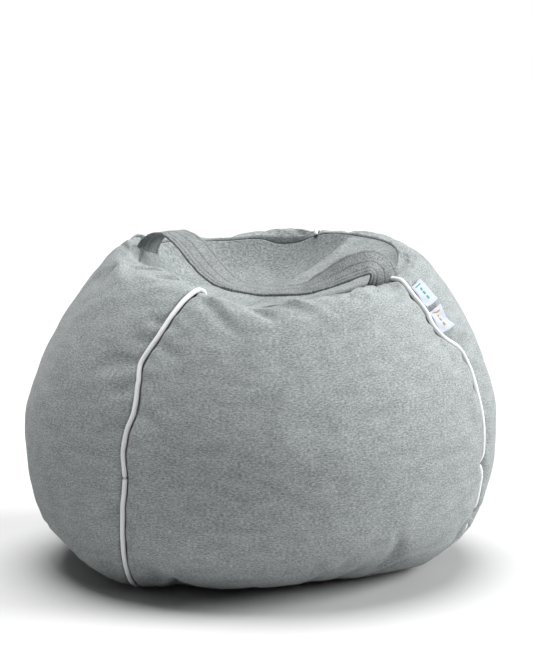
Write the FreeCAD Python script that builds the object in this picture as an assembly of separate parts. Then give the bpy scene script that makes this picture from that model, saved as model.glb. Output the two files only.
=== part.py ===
import FreeCAD, Part
import math
import os

# Bean bag chair: a cover of four side panels, a sunken top panel and a zipped base, white piping in
# the side seams, one carry handle across the top, two woven labels, and inside it a zipped liner
# full of foam beads. Millimetres, +Z up, origin at the middle of the base, front towards -Y.
# Azimuths are in degrees from the front, and grow towards the right (+X).
Vec = FreeCAD.Vector
Z_AXIS = Vec(0, 0, 1)

# Side of the bag: from the floor seam, tangent arcs given as (heading at the arc's end, radius).
FLOOR_SEAM_RADIUS = 165.0
FLOOR_SEAM_HEIGHT = 1.0
FLOOR_SEAM_HEADING = 8.5
SIDE_ARCS = [(29.4, 286.6), (68.0, 102.8), (112.0, 247.6), (132.0, 435.0), (147.0, 108.0),
             (258.0, 19.4)]
SEAM_AZIMUTHS = {"front_left": -34.0, "right": 68.0, "back": 155.0, "left": 244.0}
COVER_THICKNESS = 2.0
SEAT_CENTRE_HEIGHT = 357.0
SEAM_GAP = 1.5

PIPING_RADIUS = 3.6
PIPING_STANDS_PROUD = 1.0
PIPING_GAP = 0.3
PIPING_FLOOR_GAP = 2.0

BASE_RADIUS = 163.0
BASE_SPLIT = 0.6
BASE_SLOT_HALF_LENGTH = 134.0
BASE_ZIP_HALF_LENGTH = 120.0
BASE_COIL_HEIGHT = 1.1
SLOT_HALF_WIDTH = 6.0
HEM_HEIGHT = 3.4
HEM_WIDTH = 12.0
HEM_OVERLAP = 0.5

LINER_DEPTH = 5.5
LINER_THICKNESS = 1.0
LINER_BASE_HEIGHT = 6.4
LINER_BASE_RADIUS = 162.6
LINER_ZIP_Y = 40.0
LINER_SLOT_HALF_LENGTH = 120.0
LINER_ZIP_HALF_LENGTH = 105.0
LINER_COIL_HEIGHT = 0.9
LINER_HEM_HEIGHT = 0.6
LINER_SEAM_HALF_GAP = 0.3
BEAD_DEPTH = 7.2
BEAD_FLOOR = 10.4

ZIP_GAP = 0.3
TAPE_THICKNESS = 0.6
TAPE_INNER = 1.6
TAPE_OUTER = 16.0
TAPE_OVERRUN = 12.0
COIL_INNER = 0.7
COIL_OUTER = 2.8
COIL_DROP = 0.1
STOP_LENGTH = 4.0
STOP_HALF_WIDTH = 3.2
STOP_OFFSET = 3.0
SLIDER_LENGTH = 9.0
SLIDER_START = 6.0
SLIDER_UPPER_HALF_WIDTH = 3.6
SLIDER_LOWER_HALF_WIDTH = 4.2
SLIDER_PLATE = 1.0
SLIDER_GAP = 0.2
SLIDER_LIP = 1.0
SLIDER_POST_HALF_WIDTH = 0.4
SLIDER_POST_LENGTH = 3.0

STRAP_WIDTH = 50.0
STRAP_THICKNESS = 4.0
STRAP_GAP = 0.6
STRAP_CLEARANCE = 1.5
STRAP_SIDE_VIEW = [(-172, 398), (-151, 438), (-123, 447), (-92, 438), (-48, 404), (2, 384),
                   (52, 384), (104, 407), (148, 423), (166, 414), (176, 396)]
STRAP_TOP_VIEW = [(-190, 106), (-123, 60), (-62, -6), (-4, -50), (54, -66), (106, -62), (190, -66)]
HINGE_LEFT = Vec(-123, 60, 445)
HINGE_RIGHT = Vec(134, -63, 419)

LABEL_HEADINGS = {"upper": 128.7, "lower": 123.4}
LABEL_LENGTH = 31.0
LABEL_REACH = 27.0
LABEL_THICKNESS = 1.0
LABEL_SEAM_OFFSET = 5.2
LABEL_LIFT = 1.2


def arc_edge(centre, radius, heading_from, heading_to):
    """An arc in the XZ plane, given by the headings of its ends."""
    points = []
    for heading in (heading_from, (heading_from + heading_to) / 2, heading_to):
        turn = math.radians(heading)
        points.append(centre + Vec(math.sin(turn), 0, -math.cos(turn)) * radius)
    return Part.Arc(*points).toShape()


def side_arcs(depth):
    """The side's outline moved inwards by depth, as (centre, radius, heading from, heading to)."""
    arcs = []
    point = Vec(FLOOR_SEAM_RADIUS, 0, FLOOR_SEAM_HEIGHT)
    heading = FLOOR_SEAM_HEADING
    for heading_end, radius in SIDE_ARCS:
        start = math.radians(heading)
        end = math.radians(heading_end)
        centre = point - Vec(math.sin(start), 0, -math.cos(start)) * radius
        arcs.append((centre, radius - depth, heading, heading_end))
        point = centre + Vec(math.sin(end), 0, -math.cos(end)) * radius
        heading = heading_end
    return arcs


def side_edges(depth):
    return [arc_edge(*arc) for arc in side_arcs(depth)]


def side_point(heading):
    """The point of the side's outline where it has this heading."""
    for centre, radius, heading_from, heading_to in side_arcs(0):
        if heading_from <= heading <= heading_to:
            turn = math.radians(heading)
            return centre + Vec(math.sin(turn), 0, -math.cos(turn)) * radius
    raise ValueError(heading)


def closed_face(edges):
    """A flat face inside edges that follow one another, with straight runs across their gaps."""
    joined = []
    for index, edge in enumerate(edges):
        following = edges[(index + 1) % len(edges)]
        joined.append(edge)
        here = edge.Vertexes[-1].Point
        there = following.Vertexes[0].Point
        if here.distanceToPoint(there) > 1e-6:
            joined.append(Part.makeLine(here, there))
    return Part.Face(Part.Wire(joined))


def backwards(edges):
    reversed_edges = []
    for edge in reversed(edges):
        first, last = edge.FirstParameter, edge.LastParameter
        middle = edge.valueAt((first + last) / 2)
        arc = Part.Arc(edge.Vertexes[-1].Point, middle, edge.Vertexes[0].Point)
        reversed_edges.append(arc.toShape())
    return reversed_edges


def seam_direction(azimuth):
    turn = math.radians(azimuth)
    return Vec(math.sin(turn), -math.cos(turn), 0)


def seat_radius():
    edge = side_edges(0)[-1].Vertexes[-1].Point
    rim = edge.x - SEAM_GAP
    drop = edge.z - SEAT_CENTRE_HEIGHT
    return (rim * rim + drop * drop) / (2 * drop)


def seat_edge(depth, rim):
    """The seat's arc from the middle out to the radius rim, moved down by depth."""
    radius = seat_radius() + depth
    centre = Vec(0, 0, SEAT_CENTRE_HEIGHT + seat_radius())
    half = math.asin(rim / radius)
    points = []
    for angle in (0, half / 2, half):
        points.append(centre + Vec(math.sin(angle), 0, -math.cos(angle)) * radius)
    return Part.Arc(*points).toShape()


def seat_cap(depth, thickness, rim):
    upper = seat_edge(depth, rim)
    lower = seat_edge(depth + thickness, rim)
    face = closed_face([upper] + backwards([lower]))
    return face.revolve(Vec(0, 0, 0), Z_AXIS, 360)


def bag_solid(depth):
    """The whole bag as one body, moved inwards by depth."""
    sides = side_edges(depth)
    rim = sides[-1].Vertexes[-1].Point.x - SEAM_GAP
    seat = seat_edge(depth, rim)
    bottom = Vec(0, 0, sides[0].Vertexes[0].Point.z)
    axis = Part.makeLine(seat.Vertexes[0].Point, bottom)
    face = closed_face(sides + backwards([seat]) + [axis])
    return face.revolve(Vec(0, 0, 0), Z_AXIS, 360)


def seam_slab(azimuth, half_gap):
    """A thin upright slab from the middle of the bag out through the seam."""
    slab = Part.makeBox(400, 2 * half_gap, 600, Vec(0, -half_gap, -50))
    slab.rotate(Vec(0, 0, 0), Z_AXIS, azimuth - 90)
    return slab


def side_shell(depth, thickness, azimuth_from, azimuth_to, half_gap):
    face = closed_face(side_edges(depth) + backwards(side_edges(depth + thickness)))
    face.rotate(Vec(0, 0, 0), Z_AXIS, azimuth_from - 90)
    shell = face.revolve(Vec(0, 0, 0), Z_AXIS, azimuth_to - azimuth_from)
    for azimuth in (azimuth_from, azimuth_to):
        shell = shell.cut(seam_slab(azimuth, half_gap))
    return shell


def block(x_from, x_to, y_from, y_to, z_from, z_to):
    corner = Vec(x_from, y_from, z_from)
    return Part.makeBox(x_to - x_from, y_to - y_from, z_to - z_from, corner)


def piping(azimuth, cord_radius):
    """Corded piping: a round cord in a strip of knit, let into the seam from floor to seat."""
    lengths = []
    for centre, radius, heading_from, heading_to in side_arcs(-PIPING_STANDS_PROUD):
        turn = math.radians(heading_from)
        along = Vec(math.cos(turn), 0, math.sin(turn))
        start = centre + Vec(math.sin(turn), 0, -math.cos(turn)) * radius
        ring = Part.Face(Part.Wire(Part.makeCircle(cord_radius, start, along)))
        lengths.append(ring.revolve(centre, Vec(0, -1, 0), heading_to - heading_from))
    cord = lengths[0].fuse(lengths[1:])
    cord = cord.cut(block(-400, 400, -400, 400, PIPING_FLOOR_GAP - 100, PIPING_FLOOR_GAP))
    cord.rotate(Vec(0, 0, 0), Z_AXIS, azimuth - 90)
    return cord


def split_disc(radius, z_from, z_to, split_y, half_zip, hem_top):
    """A round panel in two halves along a zip: {'front': ..., 'rear': ...}."""
    halves = {}
    for name, side in (("front", -1), ("rear", 1)):
        disc = Part.makeCylinder(radius, z_to - z_from, Vec(0, 0, z_from))
        seam = split_y + side * BASE_SPLIT / 2
        far = side * 400.0
        keep = block(-400, 400, min(seam, far), max(seam, far), z_from - 1, z_to + 1)
        slot = block(-half_zip, half_zip, split_y - SLOT_HALF_WIDTH, split_y + SLOT_HALF_WIDTH,
                     z_from - 1, z_to + 1)
        near = split_y + side * SLOT_HALF_WIDTH
        beyond = near + side * HEM_WIDTH
        hem = block(-half_zip, half_zip, min(near, beyond), max(near, beyond),
                    z_to - HEM_OVERLAP, hem_top)
        halves[name] = disc.common(keep).cut(slot).fuse(hem).removeSplitter()
    return halves


def zip_pieces(prefix, y_middle, half_length, tape_bottom, coil_height):
    """A coil zip that lies along X: two tapes, two coils, end stops and a slider without a puller."""
    tape_top = tape_bottom + TAPE_THICKNESS
    coil_top = tape_bottom - COIL_DROP
    coil_bottom = coil_top - coil_height
    tape_end = half_length + TAPE_OVERRUN
    pieces = {}
    for name, side in (("front", -1), ("rear", 1)):
        tape = sorted((y_middle + side * TAPE_INNER, y_middle + side * TAPE_OUTER))
        coil = sorted((y_middle + side * COIL_INNER, y_middle + side * COIL_OUTER))
        pieces[prefix + "_tape_" + name] = block(-tape_end, tape_end, *tape, tape_bottom, tape_top)
        pieces[prefix + "_coil_" + name] = block(-half_length, half_length, *coil,
                                                 coil_bottom, coil_top)
    stops = []
    for side in (-1, 1):
        middle = side * (half_length + STOP_OFFSET)
        stops.append(block(middle - STOP_LENGTH / 2, middle + STOP_LENGTH / 2,
                           y_middle - STOP_HALF_WIDTH, y_middle + STOP_HALF_WIDTH,
                           coil_bottom, coil_top))
    pieces[prefix + "_end_stops"] = Part.makeCompound(stops)
    x_near = SLIDER_START - half_length - SLIDER_LENGTH / 2
    x_far = x_near + SLIDER_LENGTH
    under = coil_bottom - SLIDER_GAP
    over = tape_top + SLIDER_GAP
    slider = block(x_near, x_far, y_middle - SLIDER_LOWER_HALF_WIDTH,
                   y_middle + SLIDER_LOWER_HALF_WIDTH, under - SLIDER_PLATE, under)
    slider = slider.fuse(block(x_near, x_far, y_middle - SLIDER_UPPER_HALF_WIDTH,
                               y_middle + SLIDER_UPPER_HALF_WIDTH, over, over + SLIDER_PLATE))
    slider = slider.fuse(block(x_far - SLIDER_POST_LENGTH, x_far, y_middle - SLIDER_POST_HALF_WIDTH,
                               y_middle + SLIDER_POST_HALF_WIDTH,
                               under - SLIDER_PLATE / 2, over + SLIDER_PLATE / 2))
    for side in (-1, 1):
        lip = sorted((y_middle + side * (SLIDER_LOWER_HALF_WIDTH - SLIDER_LIP),
                      y_middle + side * SLIDER_LOWER_HALF_WIDTH))
        slider = slider.fuse(block(x_near, x_far, *lip, under - SLIDER_PLATE / 2,
                                   coil_top - SLIDER_GAP))
    pieces[prefix + "_slider"] = slider.removeSplitter()
    return pieces


def offset_corners(points, shift):
    """The corners of an open run of straight lines, moved sideways by shift."""
    corners = []
    for index, point in enumerate(points):
        before = points[max(index - 1, 0)]
        after = points[min(index + 1, len(points) - 1)]
        towards = (point - before) if index else (after - point)
        onwards = (after - point) if index < len(points) - 1 else towards
        towards.normalize()
        onwards.normalize()
        along = towards + onwards
        along.normalize()
        sideways = Vec(-along.y, along.x, 0)
        corners.append(point + sideways * (shift / along.dot(towards)))
    return corners


def rounded_run(points, corners, shift):
    """Straight runs joined by tangent arcs, each arc as large as its two runs allow."""
    edges = []
    here = corners[0]
    for index in range(1, len(points) - 1):
        towards = points[index] - points[index - 1]
        onwards = points[index + 1] - points[index]
        shorter = min(towards.Length, onwards.Length)
        towards.normalize()
        onwards.normalize()
        turn = towards.getAngle(onwards)
        leftward = 1 if towards.x * onwards.y - towards.y * onwards.x > 0 else -1
        radius = 0.45 * shorter / math.tan(turn / 2) - leftward * shift
        reach = radius * math.tan(turn / 2)
        corner = corners[index]
        start = corner - towards * reach
        end = corner + onwards * reach
        inwards = onwards - towards
        inwards.normalize()
        middle = corner + inwards * (radius / math.cos(turn / 2) - radius)
        edges.append(Part.makeLine(here, start))
        edges.append(Part.Arc(start, middle, end).toShape())
        here = end
    edges.append(Part.makeLine(here, corners[-1]))
    return edges


def ribbon_face(points, width):
    """A flat ribbon of this width, in the XY plane, along rounded runs through points."""
    points = [Vec(x, y, 0) for x, y in points]
    left = rounded_run(points, offset_corners(points, width / 2), width / 2)
    right = rounded_run(points, offset_corners(points, -width / 2), -width / 2)
    start = left[0].Vertexes[0].Point
    end = left[-1].Vertexes[-1].Point
    far_start = right[0].Vertexes[0].Point
    far_end = right[-1].Vertexes[-1].Point
    caps = [Part.makeLine(start, far_start), Part.makeLine(end, far_end)]
    return Part.Face(Part.Wire(Part.__sortEdges__(left + right + caps)))


def strap_pieces():
    """The carry handle: one band whose two ends stay put while the grip between them lifts."""
    side_view = ribbon_face(STRAP_SIDE_VIEW, STRAP_THICKNESS)
    side_view.rotate(Vec(0, 0, 0), Vec(1, 0, 0), 90)
    band = side_view.extrude(Vec(0, -500, 0))
    band.translate(Vec(0, 250, 0))
    top_view = ribbon_face(STRAP_TOP_VIEW, STRAP_WIDTH)
    plan = top_view.extrude(Vec(0, 0, 600))
    strap = band.common(plan).cut(bag_solid(-STRAP_CLEARANCE))
    for seam in ("left", "right"):
        strap = strap.cut(piping(SEAM_AZIMUTHS[seam], PIPING_RADIUS + STRAP_CLEARANCE))
    along = HINGE_RIGHT - HINGE_LEFT
    span = along.Length
    turn = FreeCAD.Rotation(Vec(1, 0, 0), along)
    inner = Part.makeBox(span - STRAP_GAP, 400, 400, Vec(STRAP_GAP / 2, -200, -200))
    outer = Part.makeBox(span + STRAP_GAP, 400, 400, Vec(-STRAP_GAP / 2, -200, -200))
    for box in (inner, outer):
        box.Placement = FreeCAD.Placement(HINGE_LEFT, turn) * box.Placement
    ends = sorted(strap.cut(outer).Solids, key=lambda solid: solid.CenterOfMass.x)
    return {"carry_handle_grip": strap.common(inner), "carry_handle_left_end": ends[0],
            "carry_handle_right_end": ends[-1]}


def label(heading):
    """A woven label: a flat tab sewn into the right seam beside the piping, free on three sides."""
    turn = math.radians(heading)
    tab = block(LABEL_SEAM_OFFSET, LABEL_SEAM_OFFSET + LABEL_REACH, -LABEL_LENGTH / 2,
                LABEL_LENGTH / 2, LABEL_LIFT, LABEL_LIFT + LABEL_THICKNESS)
    radial = seam_direction(SEAM_AZIMUTHS["right"])
    around = Z_AXIS.cross(radial)
    upward = radial * math.cos(turn) + Z_AXIS * math.sin(turn)
    outward = radial * math.sin(turn) - Z_AXIS * math.cos(turn)
    on_outline = side_point(heading)
    place = radial * on_outline.x + Z_AXIS * on_outline.z
    tab.Placement = FreeCAD.Placement(FreeCAD.Matrix(
        around.x, upward.x, outward.x, place.x,
        around.y, upward.y, outward.y, place.y,
        around.z, upward.z, outward.z, place.z,
        0, 0, 0, 1)) * tab.Placement
    return tab


pieces = {}
half_piping_gap = PIPING_RADIUS + PIPING_GAP
seams = SEAM_AZIMUTHS
for name, azimuth_from, azimuth_to in (
        ("front_panel", seams["front_left"], seams["right"]),
        ("right_panel", seams["right"], seams["back"]),
        ("back_panel", seams["back"], seams["left"]),
        ("left_panel", seams["left"], seams["front_left"] + 360)):
    pieces[name] = side_shell(0, COVER_THICKNESS, azimuth_from, azimuth_to, half_piping_gap)
for name, azimuth in seams.items():
    pieces["piping_" + name] = piping(azimuth, PIPING_RADIUS)
rim_radius = side_edges(0)[-1].Vertexes[-1].Point.x
pieces["top_panel"] = seat_cap(0, COVER_THICKNESS, rim_radius - SEAM_GAP)
base_halves = split_disc(BASE_RADIUS, 0, COVER_THICKNESS, 0, BASE_SLOT_HALF_LENGTH, HEM_HEIGHT)
for name, half in base_halves.items():
    pieces["base_panel_" + name] = half
pieces.update(zip_pieces("base_zip", 0, BASE_ZIP_HALF_LENGTH, HEM_HEIGHT + ZIP_GAP,
                         BASE_COIL_HEIGHT))

for name, azimuth_from in (("front", -90), ("rear", 90)):
    pieces["liner_side_" + name] = side_shell(LINER_DEPTH, LINER_THICKNESS, azimuth_from,
                                              azimuth_from + 180, LINER_SEAM_HALF_GAP)
pieces["liner_top"] = seat_cap(LINER_DEPTH, LINER_THICKNESS, rim_radius + SEAM_GAP)
liner_base_top = LINER_BASE_HEIGHT + LINER_THICKNESS
liner_hem_top = liner_base_top + LINER_HEM_HEIGHT
liner_halves = split_disc(LINER_BASE_RADIUS, LINER_BASE_HEIGHT, liner_base_top, LINER_ZIP_Y,
                          LINER_SLOT_HALF_LENGTH, liner_hem_top)
for name, half in liner_halves.items():
    pieces["liner_base_" + name] = half
pieces.update(zip_pieces("liner_zip", LINER_ZIP_Y, LINER_ZIP_HALF_LENGTH,
                         liner_hem_top + ZIP_GAP, LINER_COIL_HEIGHT))
pieces["bead_filling"] = bag_solid(BEAD_DEPTH).cut(block(-400, 400, -400, 400, -50, BEAD_FLOOR))

pieces.update(strap_pieces())
for name, heading in LABEL_HEADINGS.items():
    pieces["woven_label_" + name] = label(heading)

os.makedirs("parts", exist_ok=True)
for name, shape in pieces.items():
    box = shape.optimalBoundingBox(False, False)
    if shape.isNull() or not shape.isValid() or shape.Volume <= 0:
        raise ValueError("bad solid: " + name)
    print(name, len(shape.Solids), round(shape.Volume), [round(v, 1) for v in
          (box.XMin, box.XMax, box.YMin, box.YMax, box.ZMin, box.ZMax)])
    shape.exportStep("parts/" + name + ".step")
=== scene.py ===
import bpy
import math
import numpy as np
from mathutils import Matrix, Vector, noise


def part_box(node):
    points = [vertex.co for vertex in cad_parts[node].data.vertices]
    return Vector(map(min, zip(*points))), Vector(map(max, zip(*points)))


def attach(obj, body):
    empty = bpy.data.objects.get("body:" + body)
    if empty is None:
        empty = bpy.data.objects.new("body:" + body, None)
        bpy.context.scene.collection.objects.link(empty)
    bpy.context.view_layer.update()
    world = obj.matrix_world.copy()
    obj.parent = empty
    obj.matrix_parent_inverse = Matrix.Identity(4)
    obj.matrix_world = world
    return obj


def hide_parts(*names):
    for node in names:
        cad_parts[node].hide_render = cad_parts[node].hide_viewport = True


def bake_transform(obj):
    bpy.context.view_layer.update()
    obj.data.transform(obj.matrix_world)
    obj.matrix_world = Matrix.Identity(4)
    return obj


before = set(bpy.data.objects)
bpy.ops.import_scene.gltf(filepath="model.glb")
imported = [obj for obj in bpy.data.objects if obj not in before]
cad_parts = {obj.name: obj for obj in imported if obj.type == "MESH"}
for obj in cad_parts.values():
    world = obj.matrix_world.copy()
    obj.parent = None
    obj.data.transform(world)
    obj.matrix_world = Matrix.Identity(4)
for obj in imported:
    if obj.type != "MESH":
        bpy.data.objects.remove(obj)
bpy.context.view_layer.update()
bpy.ops.object.select_all(action="DESELECT")

# ---------------------------------------------------------------------------------------------
# The shape of the filled bag: knit panels over loose beads, with a belly, a soft rim and a sunken
# seat. In metres, with azimuths in degrees from the front to the right. The height up the side is
# 0 at the floor, 1 at the belly, 2 at the rim and 3 at the seat's seam.
rim_radius = {0: .195, 17: .195, 30: .194, 49: .189, 62: .192, 70: .197, 82: .197, 95: .199, 110: .202,
              130: .202, 155: .197, 180: .193, 215: .197, 240: .199, 256: .185, 270: .175, 284: .160,
              295: .150, 310: .152, 326: .162, 338: .186, 348: .193}
rim_height = {0: .384, 17: .391, 30: .398, 49: .400, 60: .394, 70: .398, 82: .408, 95: .423, 110: .433,
              130: .441, 155: .439, 180: .438, 196: .431, 212: .433, 228: .438, 243: .438, 256: .430,
              270: .423, 284: .418, 295: .415, 310: .409, 326: .403, 334: .396, 347: .390}
belly_radius = {0: .307, 45: .308, 90: .315, 135: .309, 180: .307, 225: .311, 270: .316, 315: .309}
belly_height = {0: .185, 45: .190, 90: .198, 180: .190, 270: .190}
floor_radius = {0: .143, 30: .146, 76: .196, 114: .160, 155: .205, 200: .150, 247: .205, 285: .164,
                312: .214, 335: .158}
lower_bulge = {0: .276, 20: .262, 40: .256, 68: .278, 90: .290, 180: .282, 270: .288, 315: .292}
lower_lift = {0: .022, 20: .030, 45: .030, 70: .022, 90: .020, 180: .020, 270: .020}
upper_bulge = {0: .080, 60: .082, 90: .092, 180: .080, 270: .080, 284: .086, 297: .108, 312: .106, 326: .092,
               340: .084}
shoulder = {0: .026, 68: .022, 95: .029, 130: .026, 180: .026, 240: .023, 262: .032, 284: .066, 295: .088,
            310: .084, 326: .060, 340: .030}
seat_seam_radius = {0: .176, 40: .172, 68: .168, 82: .178, 92: .185, 102: .192, 120: .194, 140: .190,
                    160: .186, 180: .180, 215: .186, 240: .184, 256: .172, 270: .164, 284: .150,
                    295: .140, 310: .142, 326: .152, 340: .168}
seat_seam_drop = {0: .024, 40: .018, 68: .005, 84: .008, 92: .010, 102: .005, 130: .006, 155: .007,
                  164: .018, 172: .020, 180: .012, 190: .008, 215: .008, 240: .014, 256: .018,
                  295: .020, 326: .018, 345: .022}
seam_lines = {
    "front_left": {0: -48, .12: -44.5, .36: -39.5, .62: -36.5, .82: -35, .95: -34, 1.08: -34.5, 1.16: -34,
                   1.23: -33, 1.35: -33.5, 1.44: -34.5, 1.5: -33.5, 1.58: -32, 1.7: -30.5, 1.95: -27.5,
                   3: -27.5},
    "right": {0: 74.5, .3: 75.5, .5: 76, .6: 74.5, .73: 72.5, .85: 71.5, 1.0: 71, 1.2: 71.5, 1.33: 73,
              1.42: 72, 1.49: 67.5, 1.56: 65.5, 1.64: 66.5, 1.79: 67, 2: 70, 3: 70},
    "back": {0: 157, .5: 155, 1: 154.5, 1.5: 155.5, 3: 155},
    "left": {0: 246, .5: 244, 1: 243.5, 1.5: 243.5, 1.8: 240.5, 2: 239, 3: 239}}


def through(x, table):
    """A smooth curve through the table's points, level with their neighbours' slope."""
    keys = np.array(sorted(table), float)
    values = np.array([table[k] for k in sorted(table)], float)
    slopes = np.gradient(values, keys)
    i = np.clip(np.searchsorted(keys, x, side="right") - 1, 0, len(keys) - 2)
    width = keys[i + 1] - keys[i]
    t = np.clip((x - keys[i]) / width, 0, 1)
    return (values[i] * (2 * t**3 - 3 * t**2 + 1) + slopes[i] * width * (t**3 - 2 * t**2 + t)
            + values[i + 1] * (3 * t**2 - 2 * t**3) + slopes[i + 1] * width * (t**3 - t**2))


def around(azimuth, table):
    """The same for a value that goes once round the bag."""
    wrapped = {k + turn: v for turn in (-360, 0, 360) for k, v in table.items()}
    return through(np.mod(azimuth, 360), wrapped)


def pull(a, b, c, d, t):
    return (1 - t)**3 * a + 3 * (1 - t)**2 * t * b + 3 * (1 - t) * t * t * c + t**3 * d


def on_side(azimuth, height):
    """The point of the bag's side at this azimuth and height."""
    rf, rb, rc, rs = (around(azimuth, table) for table in
                      (floor_radius, belly_radius, rim_radius, seat_seam_radius))
    zb, zc = around(azimuth, belly_height), around(azimuth, rim_height)
    zs = zc - around(azimuth, seat_seam_drop)
    low, mid, top = np.clip(height, 0, 1), np.clip(height - 1, 0, 1), np.clip(height - 2, 0, 1)
    r_low = pull(rf, around(azimuth, lower_bulge), rb, rb, low)
    z_low = pull(0.0012, around(azimuth, lower_lift), zb - .110, zb, low)
    r_mid = pull(rb, rb, rc + around(azimuth, shoulder), rc, mid)
    z_mid = pull(zb, zb + around(azimuth, upper_bulge), zc, zc, mid)
    r_top = pull(rc, rc - .6 * (rc - rs), rs + .001, rs, top)
    z_top = pull(zc, zc, zs + .5 * (zc - zs), zs, top)
    r = np.where(height <= 1, r_low, np.where(height <= 2, r_mid, r_top))
    z = np.where(height <= 1, z_low, np.where(height <= 2, z_mid, z_top))
    turn = np.radians(azimuth)
    return np.stack([r * np.sin(turn), -r * np.cos(turn), z], -1)


# ---------------------------------------------------------------------------------------------
# Knit that is cut a little full and pushed out from inside swells between its seams and buckles
# beside them. A cloth simulation of the four sides in one piece, held along the seams, at the
# floor and at the seat's seam, gives that swelling to every side panel.
panel_ends = {"front": ("front_left", "right"), "right": ("right", "back"), "back": ("back", "left"),
              "left": ("left", "front_left")}
columns_in = {"front": 56, "right": 46, "back": 46, "left": 44}
side_rows = np.concatenate([np.linspace(0, 1, 25)[:-1], np.linspace(1, 2, 31)[:-1], np.linspace(2, 3, 7)])
swell_limit = .010

azimuth_grid = []
pinned_columns = []
for name, (first, last) in panel_ends.items():
    start = through(side_rows, seam_lines[first])
    end = through(side_rows, seam_lines[last])
    end = np.where(end < start, end + 360, end)
    share = np.linspace(0, 1, columns_in[name] + 1)[:-1]
    pinned_columns.append(sum(len(part[0]) for part in azimuth_grid))
    azimuth_grid.append(start[:, None] * (1 - share) + end[:, None] * share)
azimuth_grid = np.concatenate(azimuth_grid, axis=1)
side_form = on_side(azimuth_grid, np.broadcast_to(side_rows[:, None], azimuth_grid.shape))
rows, columns = azimuth_grid.shape


def grid_mesh(name, points, wraps=False, flat=None):
    """A mesh of quads through a grid of points, with its flat measure as the UV map."""
    high, wide = points.shape[:2]
    mesh = bpy.data.meshes.new(name)
    number = np.arange(high * wide).reshape(high, wide)
    if wraps:
        number = np.concatenate([number, number[:, :1]], axis=1)
    quads = np.stack([number[:-1, :-1], number[:-1, 1:], number[1:, 1:], number[1:, :-1]], -1)
    mesh.from_pydata(points.reshape(-1, 3).tolist(), [], quads.reshape(-1, 4).tolist())
    mesh.shade_smooth()
    if flat is not None:
        corner = np.empty(len(mesh.loops), np.int32)
        mesh.loops.foreach_get("vertex_index", corner)
        cloth = mesh.uv_layers.new(name="cloth")
        cloth.data.foreach_set("uv", flat.reshape(-1, 2)[corner].astype(np.float32).ravel())
    piece = bpy.data.objects.new(name, mesh)
    bpy.context.collection.objects.link(piece)
    return piece


side_swell = np.zeros_like(side_form)
trial = grid_mesh("side_trial", side_form, wraps=True)
held = trial.vertex_groups.new(name="held")
number = np.arange(rows * columns).reshape(rows, columns)
held.add(number[[0, -3, -2, -1]].ravel().tolist() + number[:, pinned_columns].ravel().tolist(),
         1.0, "REPLACE")
cloth = trial.modifiers.new("cloth", "CLOTH")
cloth.settings.quality = 5
cloth.settings.mass = .25
cloth.settings.tension_stiffness = 12
cloth.settings.compression_stiffness = 12
cloth.settings.bending_stiffness = .35
cloth.settings.vertex_group_mass = "held"
cloth.settings.shrink_min = -.03
cloth.settings.use_pressure = True
cloth.settings.uniform_pressure_force = 4
cloth.settings.effector_weights.gravity = 0
for step in range(1, 21):
    bpy.context.scene.frame_set(step)
settled = trial.evaluated_get(bpy.context.evaluated_depsgraph_get()).to_mesh()
after = np.empty(rows * columns * 3)
settled.vertices.foreach_get("co", after)
side_swell = after.reshape(rows, columns, 3) - side_form
reach = np.linalg.norm(side_swell, axis=-1, keepdims=True)
side_swell *= np.minimum(1, swell_limit / np.maximum(reach, 1e-9))
trial_mesh = trial.data
bpy.data.objects.remove(trial)
bpy.data.meshes.remove(trial_mesh)
bpy.context.scene.frame_set(1)
swollen = side_form + side_swell


def on_cloth(column, row):
    """The swollen side between its grid's points, by a smooth curve through the nearest four each way."""
    def weights(t):
        return np.stack([-.5 * t + t * t - .5 * t**3, 1 - 2.5 * t * t + 1.5 * t**3,
                         .5 * t + 2 * t * t - 1.5 * t**3, -.5 * t * t + .5 * t**3])
    c = np.floor(column).astype(int)
    r = np.clip(np.floor(row).astype(int), 0, rows - 2)
    wc, wr = weights(column - c), weights(row - r)
    total = 0
    for i in range(4):
        for j in range(4):
            part = swollen[np.clip(r + j - 1, 0, rows - 1), np.mod(c + i - 1, columns)]
            total = total + part * (wc[i] * wr[j])[..., None]
    return total


def facing(points):
    """The outward direction at each point of a grid."""
    across = np.gradient(points, axis=1)
    up = np.gradient(points, axis=0)
    outward = np.cross(across, up)
    return outward / np.maximum(np.linalg.norm(outward, axis=-1, keepdims=True), 1e-12)


def ripple(points, size, seed):
    """Smooth noise of about this size, from -1 to 1, at each point."""
    flat = points.reshape(-1, 3) / size + seed
    return np.array([noise.noise(Vector(p)) for p in flat]).reshape(points.shape[:-1])


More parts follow.
